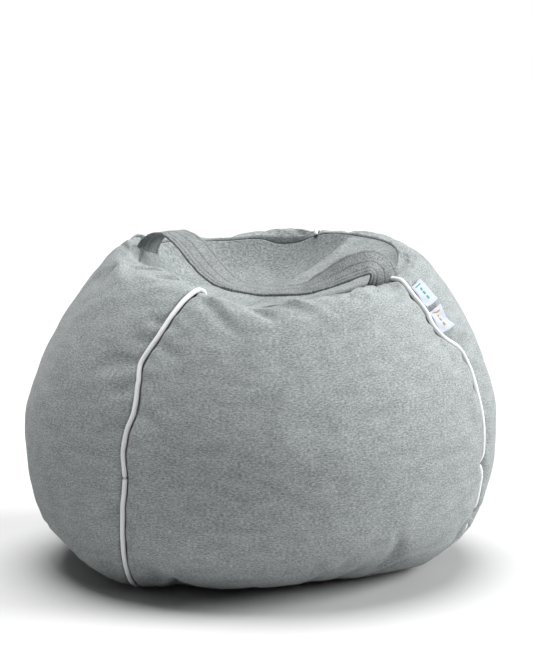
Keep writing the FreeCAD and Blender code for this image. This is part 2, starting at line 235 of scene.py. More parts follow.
# ---------------------------------------------------------------------------------------------
# The folds that a bag takes when it has been sat on and lifted: a flat shoulder with a soft edge at
# the upper left, pleats under the front rim, two dents in the right seam, and a long fold across
# the seat. Each is a line on the cloth, with its width and how far it stands out or sinks in.
folds = [
    ([(-.240, -.060, .362), (-.224, -.104, .357), (-.192, -.126, .371), (-.158, -.140, .382),
      (-.131, -.146, .391), (-.103, -.154, .396)], .009, .0085),
    ([(-.246, -.082, .338), (-.228, -.122, .336), (-.196, -.146, .350), (-.160, -.160, .361),
      (-.128, -.168, .370)], .013, -.0095),
    ([(-.196, .010, .412), (-.188, -.047, .410), (-.184, -.087, .396), (-.182, -.116, .384)], .011, .0090),
    ([(-.216, -.010, .396), (-.212, -.070, .384)], .018, -.0080),
    ([(-.172, .040, .420), (-.152, -.020, .416), (-.134, -.064, .410), (-.106, -.116, .403),
      (-.086, -.142, .398)], .008, .0030),
    ([(-.084, -.172, .391), (-.065, -.199, .381), (-.046, -.222, .364), (-.027, -.240, .345)], .008, -.0075),
    ([(-.068, -.176, .391), (-.048, -.200, .380), (-.028, -.222, .364)], .007, .0060),
    ([(-.020, -.196, .386), (.006, -.214, .374), (.026, -.232, .355)], .009, -.0055),
    ([(.020, -.194, .388), (.047, -.200, .385), (.073, -.207, .375), (.094, -.214, .362)], .007, .0070),
    ([(.034, -.206, .376), (.066, -.216, .366)], .008, -.0065),
    ([(.128, -.146, .398), (.138, -.165, .384), (.130, -.193, .367), (.113, -.217, .349)], .009, .0062),
    ([(.108, -.160, .396), (.112, -.184, .378), (.098, -.208, .360)], .009, -.0060),
    ([(.262, -.150, .262), (.272, -.140, .214), (.280, -.128, .170)], .012, -.0035),
    ([(.284, -.092, .152), (.304, -.110, .160), (.318, -.100, .165)], .009, -.0050),
    ([(.236, -.130, .086), (.262, -.096, .082), (.286, -.074, .078), (.300, -.050, .076)], .011, -.0110),
    ([(.226, -.118, .048), (.254, -.078, .052)], .014, .0040),
    ([(-.034, -.034, .360), (-.004, -.010, .376), (.030, .028, .394), (.058, .060, .407), (.100, .100, .422),
      (.142, .148, .432)], .0085, .0150),
    ([(-.030, .010, .352), (.010, .052, .366), (.044, .090, .380), (.088, .130, .400)], .016, -.0100),
    ([(.040, -.030, .388), (.076, .020, .398), (.112, .062, .412), (.158, .100, .428)], .008, .0048),
    ([(.062, -.046, .390), (.100, -.002, .404), (.140, .040, .418), (.176, .066, .428)], .007, .0042),
    ([(-.090, .110, .392), (-.040, .126, .388), (.010, .122, .380)], .010, .0056),
    ([(-.110, .090, .386), (-.060, .104, .372), (-.012, .104, .366)], .009, -.0050)]


def fold_lift(points):
    """How far the folds raise or sink the cloth at each point."""
    flat = points.reshape(-1, 3)
    lift = np.zeros(len(flat))
    for line, width, height in folds:
        line = np.array(line)
        nearest = np.full(len(flat), 9.0)
        fading = np.ones(len(flat))
        total = len(line) - 1
        for k, (a, b) in enumerate(zip(line[:-1], line[1:])):
            along = np.clip((flat - a) @ (b - a) / ((b - a) @ (b - a)), 0, 1)
            away = np.linalg.norm(flat - a - along[:, None] * (b - a), axis=1)
            place = (k + along) / total
            closer = away < nearest
            nearest[closer] = away[closer]
            fading[closer] = np.clip(4 * np.minimum(place, 1 - place), .15, 1)[closer]
        lift += height * fading * np.exp(-(nearest / width)**2)
    return lift.reshape(points.shape[:-1])


# ---------------------------------------------------------------------------------------------
# The heather knit: brushed cotton jersey in two greys, its flecks lying across the panel, with a short
# soft nap. The side panels, the seat and the base share it; the handle's is a copy darkened as painted shade.
def socket(group, name, way, kind="NodeSocketFloat", value=None):
    made = group.interface.new_socket(name=name, in_out=way, socket_type=kind)
    if value is not None:
        made.default_value = value
    return made


def wire(tree, source, target):
    tree.links.new(source, target)


def add(tree, kind, **settings):
    node = tree.nodes.new(kind)
    for key, value in settings.items():
        setattr(node, key, value)
    return node


def maths(tree, operation, *values):
    """The result of a maths node. Each value is a socket or a number."""
    node = add(tree, "ShaderNodeMath", operation=operation)
    for place, value in enumerate(values):
        if isinstance(value, (int, float)):
            node.inputs[place].default_value = value
        else:
            wire(tree, value, node.inputs[place])
    return node.outputs[0]


def mixed(tree, factor, first, second):
    """A mix of two colours by a factor. Each colour is a socket or three values."""
    mix = add(tree, "ShaderNodeMix", data_type="RGBA")
    wire(tree, factor, mix.inputs["Factor"])
    for place, colour in ((6, first), (7, second)):
        if isinstance(colour, tuple):
            mix.inputs[place].default_value = (*colour, 1)
        else:
            wire(tree, colour, mix.inputs[place])
    return mix.outputs[2]


def relief(tree, bump, source, strength, distance):
    """Let a socket's value raise the bump node's surface."""
    wire(tree, source, bump.inputs["Height"])
    bump.inputs["Strength"].default_value = strength
    bump.inputs["Distance"].default_value = distance


heather = bpy.data.node_groups.new("heather_knit", "ShaderNodeTree")
socket(heather, "Cloth", "INPUT", "NodeSocketVector")
socket(heather, "Dark yarn", "INPUT", "NodeSocketColor", (.150, .166, .168, 1))
socket(heather, "Light yarn", "INPUT", "NodeSocketColor", (.435, .465, .465, 1))
socket(heather, "Colour", "OUTPUT", "NodeSocketColor")
socket(heather, "Height", "OUTPUT")
group_in = add(heather, "NodeGroupInput")
group_out = add(heather, "NodeGroupOutput")
flecks = []
for across, up, detail, seed in ((230, 560, 5, 0), (520, 1100, 3, 5), (30, 70, 3, 9)):
    place = add(heather, "ShaderNodeMapping")
    place.inputs["Scale"].default_value = (across, up, 1)
    place.inputs["Location"].default_value = (seed, seed, seed)
    wire(heather, group_in.outputs["Cloth"], place.inputs["Vector"])
    yarn = add(heather, "ShaderNodeTexNoise")
    yarn.inputs["Scale"].default_value = 1
    yarn.inputs["Detail"].default_value = detail
    yarn.inputs["Roughness"].default_value = .65
    wire(heather, place.outputs["Vector"], yarn.inputs["Vector"])
    flecks.append(yarn.outputs["Fac"])
parts = [maths(heather, "MULTIPLY", fleck, share) for fleck, share in zip(flecks, (.62, .42, .16))]
total = maths(heather, "ADD", maths(heather, "ADD", parts[0], parts[1]), parts[2])
spread = add(heather, "ShaderNodeMapRange")
spread.inputs["From Min"].default_value = .50
spread.inputs["From Max"].default_value = .73
wire(heather, total, spread.inputs["Value"])
yarn_colour = mixed(heather, spread.outputs["Result"], group_in.outputs["Dark yarn"],
                    group_in.outputs["Light yarn"])
wire(heather, yarn_colour, group_out.inputs["Colour"])
wire(heather, flecks[1], group_out.inputs["Height"])


def cloth_shader(name, roughness, sheen=0.0):
    """A new fabric material with its cloth coordinates, its shader and a bump node."""
    material = bpy.data.materials.new(name)
    material.use_nodes = True
    tree = material.node_tree
    shader = tree.nodes["Principled BSDF"]
    shader.inputs["Roughness"].default_value = roughness
    shader.inputs["Specular IOR Level"].default_value = .25
    shader.inputs["Sheen Weight"].default_value = sheen
    shader.inputs["Sheen Roughness"].default_value = .5
    lie = add(tree, "ShaderNodeUVMap", uv_map="cloth")
    bump = add(tree, "ShaderNodeBump")
    wire(tree, bump.outputs["Normal"], shader.inputs["Normal"])
    return material, tree, shader, lie, bump


knit, tree, shader, lie, bump = cloth_shader("heather_grey_knit", .92, .10)
cloth_look = add(tree, "ShaderNodeGroup", node_tree=heather)
wire(tree, lie.outputs["UV"], cloth_look.inputs["Cloth"])
wire(tree, cloth_look.outputs["Colour"], shader.inputs["Base Color"])
relief(tree, bump, cloth_look.outputs["Height"], .35, .0008)


# ---------------------------------------------------------------------------------------------
# The cover's four side panels, each cut from one piece of knit and sewn to its neighbours with the
# piping between. Their edges turn in under the piping, and the cloth puckers beside the stitching.
cover_thickness = .0016
half_seam = .0022
seam_dip = .0034
pucker = .0010


def fine_shares(count):
    """Places across a panel from 0 to 1, close together beside its two seams."""
    near = np.array([0, .12, .3, .6, 1.0, 1.5]) / count
    inner = np.linspace(2.0 / count, 1 - 2.0 / count, 2 * (count - 4) + 1)
    return np.concatenate([near, inner, 1 - near[::-1]])


fine_rows = np.arange(0, rows - 1 + 1e-6, .5)
first_column = 0
for name, (first, last) in panel_ends.items():
    wide = columns_in[name]
    share = fine_shares(wide)
    column, row = np.meshgrid(first_column + share * wide, fine_rows)
    first_column += wide
    points = on_cloth(column, row)
    outward = facing(points)
    step = np.linalg.norm(np.diff(points, axis=1), axis=-1)
    along = np.concatenate([np.zeros((len(points), 1)), np.cumsum(step, axis=1)], axis=1)
    from_seam = np.minimum(along, along[:, -1:] - along)
    rise = np.linalg.norm(np.diff(points, axis=0), axis=-1)
    up = np.concatenate([np.zeros((1, points.shape[1])), np.cumsum(rise, axis=0)], axis=0)
    flat = np.stack([along - along[:, -1:] / 2, np.broadcast_to(up.mean(axis=1)[:, None], up.shape)], -1)
    inset = np.clip(1 - from_seam / .006, 0, 1) * half_seam
    sideways = np.gradient(points, axis=1)
    sideways /= np.linalg.norm(sideways, axis=-1, keepdims=True)
    toward_middle = np.where(along < along[:, -1:] / 2, 1.0, -1.0)
    points = points + sideways * (inset * toward_middle)[..., None]
    tight = np.stack([flat[..., 1], from_seam * .25, np.zeros_like(from_seam)], -1)
    near_seam = np.exp(-from_seam / .020) * (1 - np.exp(-from_seam / .004))
    lift = -seam_dip * np.exp(-(from_seam / .0042)**1.5)
    lift = lift + 2.2 * pucker * near_seam * ripple(tight, .017, len(name) * 7.3)
    lift = lift + .0016 * ripple(points, .055, 3.1) + .0008 * ripple(points, .022, 8.4)
    lift = (lift + fold_lift(points)) * np.clip((rows - 1 - row) / 2.5, 0, 1)
    points = points + outward * lift[..., None]
    panel = grid_mesh(name + "_panel_knit", points, flat=flat)
    panel.data.materials.append(knit)
    wall = panel.modifiers.new("wall", "SOLIDIFY")
    wall.thickness = cover_thickness
    wall.offset = -1
    bpy.context.view_layer.objects.active = panel
    bpy.ops.object.modifier_apply(modifier="wall")
    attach(panel, "bag")
    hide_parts(name + "_panel")


# ---------------------------------------------------------------------------------------------
# White piping in the four side seams: a soft cord in a bias strip of cotton, standing just proud
# of the knit, from the floor up over the rim to the seat's seam.
piping_radius = .0032
piping_proud = .0012
cord_sides = 12


def close_up(piece):
    """Merge the piece's doubled edge, cap its open ends and face it outwards."""
    bpy.context.view_layer.objects.active = piece
    piece.select_set(True)
    bpy.ops.object.mode_set(mode="EDIT")
    bpy.ops.mesh.select_mode(type="EDGE")
    bpy.ops.mesh.select_all(action="SELECT")
    bpy.ops.mesh.remove_doubles(threshold=2e-6)
    bpy.ops.mesh.select_all(action="DESELECT")
    bpy.ops.mesh.select_non_manifold()
    bpy.ops.mesh.edge_face_add()
    bpy.ops.mesh.select_all(action="SELECT")
    bpy.ops.mesh.normals_make_consistent(inside=False)
    bpy.ops.object.mode_set(mode="OBJECT")
    piece.select_set(False)


def tube(name, path, radius, sides):
    """A closed round cord along a path, with its length and girth as the UV map."""
    ahead = np.gradient(path, axis=0)
    ahead /= np.linalg.norm(ahead, axis=1, keepdims=True)
    side = np.cross(ahead, (0, 0, 1.0)) + np.cross(ahead, (0, 1.0, 0)) * 1e-3
    side /= np.linalg.norm(side, axis=1, keepdims=True)
    over = np.cross(side, ahead)
    angle = np.linspace(0, 2 * np.pi, sides + 1)
    ends = np.concatenate([[0.05], np.full(len(path) - 2, 1.0), [0.05]])
    round_off = np.minimum(1, ends)[:, None, None]
    ring = (path[:, None] + radius * round_off * (np.cos(angle)[None, :, None] * side[:, None]
            + np.sin(angle)[None, :, None] * over[:, None]))
    length = np.concatenate([[0], np.cumsum(np.linalg.norm(np.diff(path, axis=0), axis=1))])
    flat = np.stack(np.meshgrid(angle * radius, length), -1)
    cord = grid_mesh(name, ring, flat=flat)
    close_up(cord)
    return cord


white_cotton, tree, shader, lie, bump = cloth_shader("white_piping_cotton", .85, .15)
twill = add(tree, "ShaderNodeTexWave", wave_type="BANDS", bands_direction="DIAGONAL")
twill.inputs["Scale"].default_value = 260
twill.inputs["Distortion"].default_value = 1.5
wire(tree, lie.outputs["UV"], twill.inputs["Vector"])
relief(tree, bump, twill.outputs["Fac"], .4, .0003)
tint = mixed(tree, twill.outputs["Fac"], (.74, .75, .76), (.86, .87, .88))
wire(tree, tint, shader.inputs["Base Color"])

first_column = 0
for name, (first, last) in panel_ends.items():
    row = np.arange(0, rows - 1 + 1e-6, .34)
    spot = np.full(len(row), float(first_column))
    path = on_cloth(spot, row)
    beside = on_cloth(spot + .3, row) - on_cloth(spot - .3, row)
    climb = np.gradient(path, axis=0)
    outward = np.cross(beside, climb)
    outward /= np.linalg.norm(outward, axis=1, keepdims=True)
    path = path + outward * (piping_proud + fold_lift(path) * np.clip((rows - 1 - row) / 2.5, 0, 1))[:, None]
    path[:, 2] = np.maximum(path[:, 2], piping_radius + .0004)
    first_column += columns_in[name]
    cord = tube("piping_" + first + "_cotton", path, piping_radius, cord_sides)
    cord.data.materials.append(white_cotton)
    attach(cord, "bag")
    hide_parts("piping_" + first)


# ---------------------------------------------------------------------------------------------
# The top panel: one round piece of the same knit, sewn in below the rim, which sinks into the beads
# as a hollow at the front left and lies as a slope at the right, with a fold between the two.
seat_middle = np.array([-.030, .015, .352])
hollow_power = {0: 1.3, 60: 1.15, 100: 1.0, 128: 1.05, 133: 1.2, 140: 2.9, 146: 3.1, 160: 3.4, 200: 3.6,
                300: 3.5, 325: 2.6, 345: 1.6}
seat_rings = np.concatenate([[0, .006, .015, .03], np.linspace(.055, .985, 44)])

seam_ring = on_cloth(np.arange(0, columns, 1.0), np.full(columns, rows - 1.0))
seam_azimuth = np.degrees(np.arctan2(seam_ring[:, 0], -seam_ring[:, 1]))


def seat_at(shares, lower=0.0):
    """Rings of the seat, from its seam (share 0) to its middle (share 1), lowered evenly."""
    left = (1 - shares)[:, None]
    power = around(seam_azimuth, hollow_power)[None, :]
    across = seat_middle[:2] + (seam_ring[None, :, :2] - seat_middle[:2]) * left[..., None]
    height = seat_middle[2] + (seam_ring[None, :, 2] - .0006 - seat_middle[2]) * left**power
    return np.concatenate([across, height[..., None] - lower], -1)


def fill_pole(piece, middle):
    """Close the innermost ring of a round piece to one point."""
    ring = len(seam_ring)
    for vertex in piece.data.vertices[len(piece.data.vertices) - ring:]:
        vertex.co = middle
    bpy.context.view_layer.objects.active = piece
    piece.select_set(True)
    bpy.ops.object.mode_set(mode="EDIT")
    bpy.ops.mesh.select_all(action="SELECT")
    bpy.ops.mesh.remove_doubles(threshold=2e-6)
    bpy.ops.object.mode_set(mode="OBJECT")
    piece.select_set(False)


def give_wall(piece, thickness):
    wall = piece.modifiers.new("wall", "SOLIDIFY")
    wall.thickness = thickness
    wall.offset = -1
    bpy.context.view_layer.objects.active = piece
    bpy.ops.object.modifier_apply(modifier="wall")


seat_points = seat_at(seat_rings)
creep = .0026 * ripple(seat_points * (1, 1, .4), .050, 21.7) + .0014 * ripple(seat_points, .022, 31.2)
seat_points[..., 2] += (creep + fold_lift(seat_points)) * np.clip(seat_rings / .05, 0, 1)[:, None]
seat = grid_mesh("seat_panel_knit", seat_points, wraps=True, flat=seat_points[..., :2].copy())
seat.data.materials.append(knit)
fill_pole(seat, seat_points[-1].mean(axis=0))
give_wall(seat, cover_thickness)
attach(seat, "bag")
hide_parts("top_panel")


# ---------------------------------------------------------------------------------------------
# The carry handle: one strap of the same knit folded into several layers and topstitched in four
# rows, its ends sewn into the seat's seam. It arches over the rim at the left and droops into the
# seat.
handle_line = [(-.163, .089, .396), (-.1615, .087, .416), (-.152, .080, .437), (-.127, .063, .4485),
               (-.099, .027, .4385), (-.073, -.011, .413), (-.046, -.038, .3925), (-.014, -.054, .385),
               (.022, -.062, .3835), (.054, -.066, .3865), (.081, -.066, .3965), (.106, -.063, .4085),
               (.130, -.061, .4185), (.149, -.060, .4215), (.1605, -.062, .4125), (.1635, -.064, .399),
               (.163, -.065, .388)]
handle_twist = {0: 0, .2: 0, .45: 4, .58: 6, .68: 8, .78: 22, .86: 32, .93: 30, 1: 18}
handle_width = .050
handle_thickness = .0038
stitch_rows = (-.0205, -.0135, .0, .0195)
stitch_groove = .0009
stitch_length = .0034
stitch_share = .76
thread_half = .0005
# The dark thread colour is partly the thread's own and partly painted shade for the grooves the stitch rows
# sink into.
thread_and_groove_shade_colour = (.13, .14, .145)
plan_lean = np.array([.00021, -.000168, 0])


def smooth_path(points, spacing):
    """Points close together on a smooth curve through the given ones."""
    points = np.array(points, float)
    chord = np.concatenate([[0], np.cumsum(np.linalg.norm(np.diff(points, axis=0), axis=1))])
    places = np.linspace(0, chord[-1], int(chord[-1] / spacing) + 1)
    return np.stack([through(places, dict(zip(chord, points[:, k]))) for k in range(3)], -1)


strap_path = smooth_path(handle_line, .0035)
ahead = np.gradient(strap_path, axis=0)
plan = ahead * (1, 1, 0) + plan_lean
kernel = np.hanning(25) / np.hanning(25).sum()
plan = np.stack([np.convolve(np.pad(plan[:, k], 12, mode="edge"), kernel, mode="valid")
                 for k in range(3)], -1)
plan /= np.linalg.norm(plan, axis=1, keepdims=True)
wide_way = np.cross((0, 0, 1.0), plan)
ahead /= np.linalg.norm(ahead, axis=1, keepdims=True)
run = np.linspace(0, 1, len(strap_path))
twist = np.radians(through(run, handle_twist))[:, None]
wide_way = wide_way * np.cos(twist) + np.cross(ahead, wide_way) * np.sin(twist)
over_way = np.cross(ahead, wide_way)
over_way /= np.linalg.norm(over_way, axis=1, keepdims=True)
half = handle_width / 2 - .0012
face = np.linspace(-half, half, 61)
dips = sum(np.exp(-((face - row) / .0011)**2) for row in stitch_rows) * stitch_groove
upper = handle_thickness / 2 - dips
edge = np.radians([60, 25, -25, -60])
loop = np.concatenate([
    np.stack([face, upper], -1),
    np.stack([half + .0012 * np.cos(edge), handle_thickness / 2 * np.sin(edge)], -1),
    np.stack([face[::-1], -upper[::-1]], -1),
    np.stack([-half - .0012 * np.cos(edge), -handle_thickness / 2 * np.sin(edge)], -1)])
strap_points = (strap_path[:, None] + loop[None, :, 0, None] * wide_way[:, None]
                + loop[None, :, 1, None] * over_way[:, None])
crumple = .0012 * ripple(strap_points, .030, 41.3) + .0009 * ripple(strap_points * (1, 1, 2), .014, 47.9)
strap_points = strap_points + over_way[:, None] * crumple[..., None]
strap_points = np.concatenate([strap_points, strap_points[:, :1]], axis=1)
loop_place = np.concatenate([loop[:, 0], loop[:1, 0]])
length = np.concatenate([[0], np.cumsum(np.linalg.norm(np.diff(strap_path, axis=0), axis=1))])
strap = grid_mesh("carry_handle_strap", strap_points, flat=np.stack(np.meshgrid(loop_place, length), -1))
close_up(strap)

strap_knit, tree, shader, lie, bump = cloth_shader("topstitched_grey_knit", .92, .06)
cloth_look = add(tree, "ShaderNodeGroup", node_tree=heather)
# The handle's yarns are darker than the panels' though it is the same knit: the darkening is painted shade.
cloth_look.inputs["Dark yarn"].default_value = (.108, .118, .120, 1)
cloth_look.inputs["Light yarn"].default_value = (.335, .355, .355, 1)
wire(tree, lie.outputs["UV"], cloth_look.inputs["Cloth"])
apart = add(tree, "ShaderNodeSeparateXYZ")
wire(tree, lie.outputs["UV"], apart.inputs["Vector"])
in_row = 0
for row in stitch_rows:
    in_row = maths(tree, "MAXIMUM", in_row, maths(tree, "COMPARE", apart.outputs["X"], row, thread_half))
along_stitch = maths(tree, "FRACT", maths(tree, "MULTIPLY", apart.outputs["Y"], 1 / stitch_length))
# The stitches are painted in that dark colour: the thread itself, with painted shade in the stitch grooves.
stitch_and_groove_shade = maths(tree, "MULTIPLY", in_row, maths(tree, "LESS_THAN", along_stitch, stitch_share))
stitched_and_groove_shaded = mixed(tree, stitch_and_groove_shade, cloth_look.outputs["Colour"], thread_and_groove_shade_colour)
wire(tree, stitched_and_groove_shaded, shader.inputs["Base Color"])
relief(tree, bump, maths(tree, "ADD", stitch_and_groove_shade, cloth_look.outputs["Height"]), .4, .0006)
strap.data.materials.append(strap_knit)
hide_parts("carry_handle_grip", "carry_handle_left_end", "carry_handle_right_end")
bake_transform(strap)


# ---------------------------------------------------------------------------------------------
# Two woven labels, folded damask tabs caught in the right seam beside the piping and free on
# their other three sides, so they curl up from the seam. Each has a plain woven bar and squares.
label_length = .034
label_reach = .029
label_thickness = .0009
label_heights = {"upper": .3765, "lower": .3445}
label_thread = {"upper": (.02, .26, .16), "lower": (.36, .17, .03)}

seam_column = float(columns_in["front"])
seam_rows = np.arange(0, rows - 1, .02)
seam_path = on_cloth(np.full(len(seam_rows), seam_column), seam_rows)
outer = seam_rows < 54
for name, height in label_heights.items():
    centre_row = seam_rows[outer][np.argmin(abs(seam_path[outer, 2] - height))]
    here = on_cloth(np.full(2, seam_column), centre_row + np.array([-.5, .5]))
    per_row = np.linalg.norm(here[1] - here[0])
    beside = np.arange(0, 8, .1)
    away = on_cloth(seam_column + beside, np.full(len(beside), centre_row))
    paced = np.concatenate([[0], np.cumsum(np.linalg.norm(np.diff(away, axis=0), axis=1))])
    reach = np.linspace(0, label_reach, 19)
    along = np.linspace(-label_length / 2, label_length / 2, 23)
    across_grid, along_grid = np.meshgrid(reach, along)
    under = on_cloth(seam_column + np.interp(across_grid + .0046, paced, beside),
                     centre_row + along_grid / per_row)
    outward = facing(under)
    stand = .0030 + .0022 * (across_grid / label_reach)**2 + .0006 * np.sin(along_grid * 190)
    tab_points = under + outward * stand[..., None]
    tab = grid_mesh("woven_label_" + name + "_tab", tab_points, flat=np.stack([across_grid, along_grid], -1))
    give_wall(tab, label_thickness)
    damask, tree, shader, lie, bump = cloth_shader("woven_label_" + name, .6, .1)
    apart = add(tree, "ShaderNodeSeparateXYZ")
    wire(tree, lie.outputs["UV"], apart.inputs["Vector"])
    weave = add(tree, "ShaderNodeTexWave", wave_type="BANDS", bands_direction="Y")
    weave.inputs["Scale"].default_value = 420
    wire(tree, lie.outputs["UV"], weave.inputs["Vector"])
    colour = mixed(tree, weave.outputs["Fac"], (.40, .44, .51), (.48, .52, .59))
    marks = [(.0130, .0120, .0080, .0009)] + [(.014, -.0075 + .0065 * k, .0022, .0022) for k in range(3)]
    for x, y, half_x, half_y in marks:
        inside = maths(tree, "MULTIPLY", maths(tree, "COMPARE", apart.outputs["X"], x, half_x),
                       maths(tree, "COMPARE", apart.outputs["Y"], y, half_y))
        colour = mixed(tree, inside, colour, label_thread[name])
    wire(tree, colour, shader.inputs["Base Color"])
    relief(tree, bump, weave.outputs["Fac"], .3, .0002)
    tab.data.materials.append(damask)
    root = tab_points[:, 0].mean(axis=0)
    outwards = tab_points[:, -1].mean(axis=0) - root
    outwards /= np.linalg.norm(outwards)
    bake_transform(tab)
    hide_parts("woven_label_" + name)


# ---------------------------------------------------------------------------------------------
# The base: two half rounds of the knit lying flat on the floor, each with a turned hem beside the
# opening for the zip, sewn all round to the side panels.
base_gap = .0003
slot_half_length = .134
slot_half_width = .006
hem_width = .012
hem_rise = .0014

floor_ring = on_cloth(np.arange(0, columns, 1.0), np.zeros(columns))
floor_turn = np.degrees(np.arctan2(floor_ring[:, 0], -floor_ring[:, 1]))
floor_reach = dict(zip(floor_turn.tolist(), np.hypot(floor_ring[:, 0], floor_ring[:, 1]).tolist()))


def half_round(name, side, split_y, edge_inset, low, thick, slot_half, hem_up, reach_at, material):
    """Half of a round panel, from its outer seam in to the zip's opening, with a hem there."""
    turn = np.linspace(-100, 100, 141) + (0 if side < 0 else 180)
    r = reach_at(turn) - edge_inset
    split = split_y + side * base_gap
    outer = np.stack([r * np.sin(np.radians(turn)), -r * np.cos(np.radians(turn))], -1)
    outer = outer[outer[:, 1] * side > split * side + .0002]
    opening = 1 / (1 + np.exp((abs(outer[:, 0]) - slot_half) / .0008))
    inner_y = split + side * (slot_half_width - base_gap) * opening
    inner_y = np.maximum(inner_y, outer[:, 1]) if side < 0 else np.minimum(inner_y, outer[:, 1])
    share = np.concatenate([np.linspace(0, .8, 9), np.linspace(.8, 1, 25)[1:]])
    y = outer[:, 1] * (1 - share[:, None]) + inner_y * share[:, None]
    x = np.broadcast_to(outer[:, 0], y.shape)
    from_edge = abs(y - inner_y)
    raised = hem_up * opening / (1 + np.exp((from_edge - hem_width) / .0006))
    wave = np.maximum(.0004 * ripple(np.stack([x, y, 0 * x], -1), .045, 63.1), 0)
    under_face = np.stack([x, y, low + wave], -1)
    upper_face = np.stack([x, y, low + thick + raised + wave], -1)
    around_it = np.concatenate([under_face, upper_face[::-1], under_face[:1]], axis=0)
    piece = grid_mesh(name, around_it, flat=around_it[..., :2].copy())
    close_up(piece)
    piece.data.materials.append(material)
    return piece


for name, side in (("front", -1), ("rear", 1)):
    half_base = half_round("base_" + name + "_knit", side, 0, .0028, .0004, .0018, slot_half_length,
                           hem_rise, lambda turn: around(turn, floor_reach), knit)
    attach(half_base, "bag")
    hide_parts("base_panel_" + name)


# ---------------------------------------------------------------------------------------------
# The two coil zips, in the cover's base and in the liner's: a pair of woven tapes, a coil of nylon
# sewn to the edge of each, and a slider with no puller, which runs in metal between end stops.
tape_inner = .0016
tape_overrun = .012
coil_pitch = .0012
coil_wire = .00021
zips = {"base_zip": (0, .120), "liner_zip": (.040, .105)}

tape_weave, tree, shader, lie, bump = cloth_shader("zip_tape_weave", .8, .1)
ribs = add(tree, "ShaderNodeTexWave", wave_type="BANDS", bands_direction="DIAGONAL")
ribs.inputs["Scale"].default_value = 300
wire(tree, lie.outputs["UV"], ribs.inputs["Vector"])
tape_tone = mixed(tree, ribs.outputs["Fac"], (.50, .51, .52), (.64, .65, .66))
wire(tree, tape_tone, shader.inputs["Base Color"])
relief(tree, bump, ribs.outputs["Fac"], .3, .0002)


def worn_finish(name, colour, other, roughness, metallic, size):
    """A hard finish whose colour and gloss vary with rubbing, read from the piece's own place."""
    material = bpy.data.materials.new(name)
    material.use_nodes = True
    tree = material.node_tree
    shader = tree.nodes["Principled BSDF"]
    shader.inputs["Metallic"].default_value = metallic
    place = add(tree, "ShaderNodeTexCoord")
    rub = add(tree, "ShaderNodeTexNoise")
    rub.inputs["Scale"].default_value = size
    rub.inputs["Detail"].default_value = 4
    wire(tree, place.outputs["Object"], rub.inputs["Vector"])
    wire(tree, mixed(tree, rub.outputs["Fac"], colour, other), shader.inputs["Base Color"])
    gloss = add(tree, "ShaderNodeMapRange")
    gloss.inputs["To Min"].default_value = roughness - .1
    gloss.inputs["To Max"].default_value = roughness + .12
    wire(tree, rub.outputs["Fac"], gloss.inputs["Value"])
    wire(tree, gloss.outputs["Result"], shader.inputs["Roughness"])
    bump = add(tree, "ShaderNodeBump")
    relief(tree, bump, rub.outputs["Fac"], .2, .0001)
    wire(tree, bump.outputs["Normal"], shader.inputs["Normal"])
    return material


nylon = worn_finish("zip_coil_nylon", (.55, .56, .57), (.68, .69, .70), .42, 0, 900)
slider_zinc = worn_finish("zip_slider_zinc", (.48, .48, .49), (.62, .62, .63), .36, 1, 700)
stop_zinc = worn_finish("zip_stop_zinc", (.42, .42, .43), (.58, .58, .59), .42, 1, 900)

for prefix, (middle_y, half_length) in zips.items():
    for name, side in (("front", -1), ("rear", 1)):
        low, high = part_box(prefix + "_tape_" + name)
        x = np.linspace(-half_length - tape_overrun, half_length + tape_overrun, 133)
        y = np.linspace(low[1] + .0002, high[1] - .0002, 15)
        grid_x, grid_y = np.meshgrid(x, y)
        nearer = abs(grid_y - middle_y) - tape_inner
        puff = .00012 * np.exp(-((nearer - .0040) / .0008)**2)
        weave_rise = .00005 * ripple(np.stack([grid_x, grid_y, 0 * grid_x], -1), .012, 71.0)
        level = high[2] - .0001 + puff + weave_rise
        tape = grid_mesh(prefix + "_tape_" + name + "_weave", np.stack([grid_x, grid_y, level], -1),
                         flat=np.stack([grid_x, grid_y], -1))
        give_wall(tape, .00045)
        tape.data.materials.append(tape_weave)
        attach(tape, "bag")
        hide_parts(prefix + "_tape_" + name)
        low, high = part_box(prefix + "_coil_" + name)
        centre_y, centre_z = (low[1] + high[1]) / 2, (low[2] + high[2]) / 2
        turns = int((high[0] - low[0] - .002) / coil_pitch)
        angle = np.linspace(0, 2 * np.pi * turns, turns * 9 + 1)
        wide_half = (high[1] - low[1]) / 2 - coil_wire
        tall_half = (high[2] - low[2]) / 2 - coil_wire
        path = np.stack([low[0] + .001 + angle / (2 * np.pi) * coil_pitch,
                         centre_y + wide_half * np.cos(angle), centre_z + tall_half * np.sin(angle)], -1)
        coil = tube(prefix + "_coil_" + name + "_nylon", path, coil_wire, 5)
        coil.data.materials.append(nylon)
        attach(coil, "bag")
        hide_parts(prefix + "_coil_" + name)
    for node, finish in (("_end_stops", stop_zinc), ("_slider", slider_zinc)):
        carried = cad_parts[prefix + node]
        for slot in carried.material_slots:
            slot.material = finish


# ---------------------------------------------------------------------------------------------
# The inner liner: plain white polycotton in two side halves, a top and a base in two halves round
# its own zip. It holds the beads, and hangs about a centimetre inside the cover.
liner_inset = .0100
liner_wall = .0008
liner_base_low = .0062

polycotton, tree, shader, lie, bump = cloth_shader("liner_polycotton", .85)
threads = add(tree, "ShaderNodeTexBrick")
threads.inputs["Scale"].default_value = 900
threads.inputs["Color1"].default_value = (.74, .74, .72, 1)
threads.inputs["Color2"].default_value = (.80, .80, .78, 1)
threads.inputs["Mortar"].default_value = (.62, .62, .60, 1)
wire(tree, lie.outputs["UV"], threads.inputs["Vector"])
wire(tree, threads.outputs["Color"], shader.inputs["Base Color"])
relief(tree, bump, threads.outputs["Fac"], .15, .0001)


def inside_side(azimuths, heights, inset):
    """The bag's side moved inwards."""
    azimuth, height = np.meshgrid(azimuths, heights)
    points = on_side(azimuth, height)
    return points - facing(points) * inset


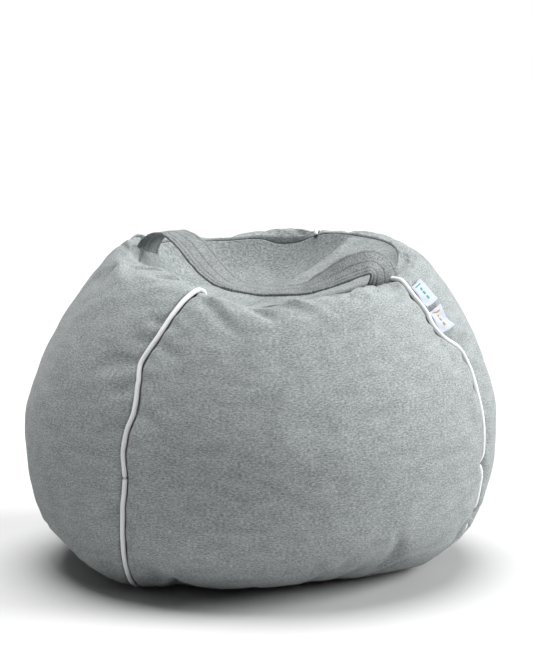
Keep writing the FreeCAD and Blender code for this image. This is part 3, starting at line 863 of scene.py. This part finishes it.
side_heights = np.concatenate([np.linspace(.06, 1, 22)[:-1], np.linspace(1, 1.97, 26)])
for name, start in (("front", -90), ("rear", 90)):
    azimuths = np.linspace(start + .08, start + 179.92, 73)
    points = inside_side(azimuths, side_heights, liner_inset)
    points[..., 2] = np.maximum(points[..., 2], liner_base_low + .001)
    points = points - facing(points) * (.0008 + .0008 * ripple(points, .030, 81.0))[..., None]
    flat = np.stack(np.meshgrid(azimuths * .0052, side_heights * .29), -1)
    half_liner = grid_mesh("liner_side_" + name + "_cloth", points, flat=flat)
    half_liner.data.materials.append(polycotton)
    give_wall(half_liner, liner_wall)
    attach(half_liner, "bag")
    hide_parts("liner_side_" + name)


def sunken_top(inset, lower, rings):
    """A round top from just inside the rim down under the seat."""
    rim = on_side(seam_azimuth, np.full(len(seam_azimuth), 1.985))
    rim = rim - np.stack([np.zeros(len(rim)), np.zeros(len(rim)), np.full(len(rim), inset + .001)], -1)
    points = np.concatenate([rim[None], seat_at(rings, lower)], axis=0)
    return points


liner_top_points = sunken_top(liner_inset, .0105, np.concatenate([np.linspace(.01, .97, 30), [1]]))
liner_top = grid_mesh("liner_top_cloth", liner_top_points, wraps=True, flat=liner_top_points[..., :2].copy())
liner_top.data.materials.append(polycotton)
fill_pole(liner_top, liner_top_points[-1].mean(axis=0))
give_wall(liner_top, liner_wall)
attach(liner_top, "bag")
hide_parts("liner_top")

liner_edge = inside_side(np.arange(0, 360, 3.0), np.array([.06, .07]), liner_inset)[0]
liner_turn = np.degrees(np.arctan2(liner_edge[:, 0], -liner_edge[:, 1]))
liner_reach = dict(zip(liner_turn.tolist(), np.hypot(liner_edge[:, 0], liner_edge[:, 1]).tolist()))
for name, side in (("front", -1), ("rear", 1)):
    half_base = half_round("liner_base_" + name + "_cloth", side, zips["liner_zip"][0], .0020,
                           liner_base_low, .0008, .120, .0006,
                           lambda turn: around(turn, liner_reach), polycotton)
    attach(half_base, "bag")
    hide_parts("liner_base_" + name)


# ---------------------------------------------------------------------------------------------
# The filling: loose expanded polystyrene beads of 3 to 5 mm, settled into one slack mass inside
# the liner, flat below and hollowed by the seat above.
filling_inset = .0135
filling_floor = .0112

bead_foam = worn_finish("polystyrene_beads", (.84, .84, .83), (.93, .93, .92), .6, 0, 60)
tree = bead_foam.node_tree
beads = add(tree, "ShaderNodeTexVoronoi")
beads.inputs["Scale"].default_value = 260
wire(tree, next(n for n in tree.nodes if n.bl_idname == "ShaderNodeTexCoord").outputs["Object"],
     beads.inputs["Vector"])
bead_bump = next(n for n in tree.nodes if n.bl_idname == "ShaderNodeBump")
bead_bump.invert = True
relief(tree, bead_bump, beads.outputs["Distance"], .9, .002)

filling_heights = np.concatenate([np.linspace(.1, 1, 20)[:-1], np.linspace(1, 1.94, 24)])
azimuth, height = np.meshgrid(seam_azimuth, filling_heights)
outside = on_side(azimuth, height)
outside = outside - facing(np.concatenate([outside, outside[:, :1]], axis=1))[:, :-1] * filling_inset
outside[..., 2] = np.maximum(outside[..., 2], filling_floor)
hollow = sunken_top(filling_inset, .0150, np.concatenate([np.linspace(.02, .97, 28), [1]]))[1:]
under = np.stack([outside[0] * (share, share, 0) + (0, 0, filling_floor) for share in (.001, .3, .6, .85)], 0)
whole = np.concatenate([under, outside, hollow], axis=0)
whole[5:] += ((.0009 * ripple(whole[5:], .004, 91.0))[..., None] * (0, 0, 1))
filling = grid_mesh("bead_filling_beads", whole, wraps=True, flat=whole[..., :2].copy())
filling.data.materials.append(bead_foam)
fill_pole(filling, whole[-1].mean(axis=0))
close_up(filling)
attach(filling, "bag")
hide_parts("bead_filling")


# ---------------------------------------------------------------------------------------------
# The room: a plain pale floor and soft light, brightest from the upper right.
bpy.ops.mesh.primitive_plane_add(size=30, location=(0, 0, 0))
floor = bpy.context.active_object
floor.name = "floor"
floor.select_set(False)
pale = bpy.data.materials.new("pale_floor")
pale.use_nodes = True
pale.node_tree.nodes["Principled BSDF"].inputs["Base Color"].default_value = (.62, .62, .62, 1)
pale.node_tree.nodes["Principled BSDF"].inputs["Roughness"].default_value = .9
pale.node_tree.nodes["Principled BSDF"].inputs["Specular IOR Level"].default_value = .1
floor.data.materials.append(pale)

world = bpy.data.worlds.new("studio")
world.use_nodes = True
tree = world.node_tree
soft = tree.nodes["Background"]
soft.inputs["Color"].default_value = (1, 1, 1, 1)
soft.inputs["Strength"].default_value = .10
white = add(tree, "ShaderNodeBackground")
white.inputs["Color"].default_value = (1, 1, 1, 1)
white.inputs["Strength"].default_value = 1.0
seen = add(tree, "ShaderNodeLightPath")
either = add(tree, "ShaderNodeMixShader")
wire(tree, seen.outputs["Is Camera Ray"], either.inputs["Fac"])
wire(tree, soft.outputs["Background"], either.inputs[1])
wire(tree, white.outputs["Background"], either.inputs[2])
wire(tree, either.outputs["Shader"], tree.nodes["World Output"].inputs["Surface"])
bpy.context.scene.world = world
bpy.context.scene.view_settings.view_transform = "Standard"

suns = (("key", (-.92, -.02, -.44), 3.8, 32), ("overhead", (.04, -.12, -1), 4.0, 45))
for name, way, strength, width in suns:
    lamp = bpy.data.lights.new(name, "SUN")
    lamp.energy = strength
    lamp.angle = math.radians(width)
    light = bpy.data.objects.new(name, lamp)
    light.rotation_euler = Vector(way).to_track_quat("-Z", "Y").to_euler()
    bpy.context.collection.objects.link(light)

tilt = math.radians(11)
camera_distance = 3
camera_aim = .21
camera_data = bpy.data.cameras.new("camera")
camera_data.sensor_fit = "HORIZONTAL"
camera_data.sensor_width = 36
camera_data.lens = 146.8
camera_data.shift_x = .0103
camera_data.shift_y = .1445
camera = bpy.data.objects.new("camera", camera_data)
camera.location = (0, -camera_distance * math.cos(tilt), camera_aim + camera_distance * math.sin(tilt))
camera.rotation_euler = (math.radians(90) - tilt, 0, 0)
bpy.context.collection.objects.link(camera)
bpy.context.scene.camera = camera
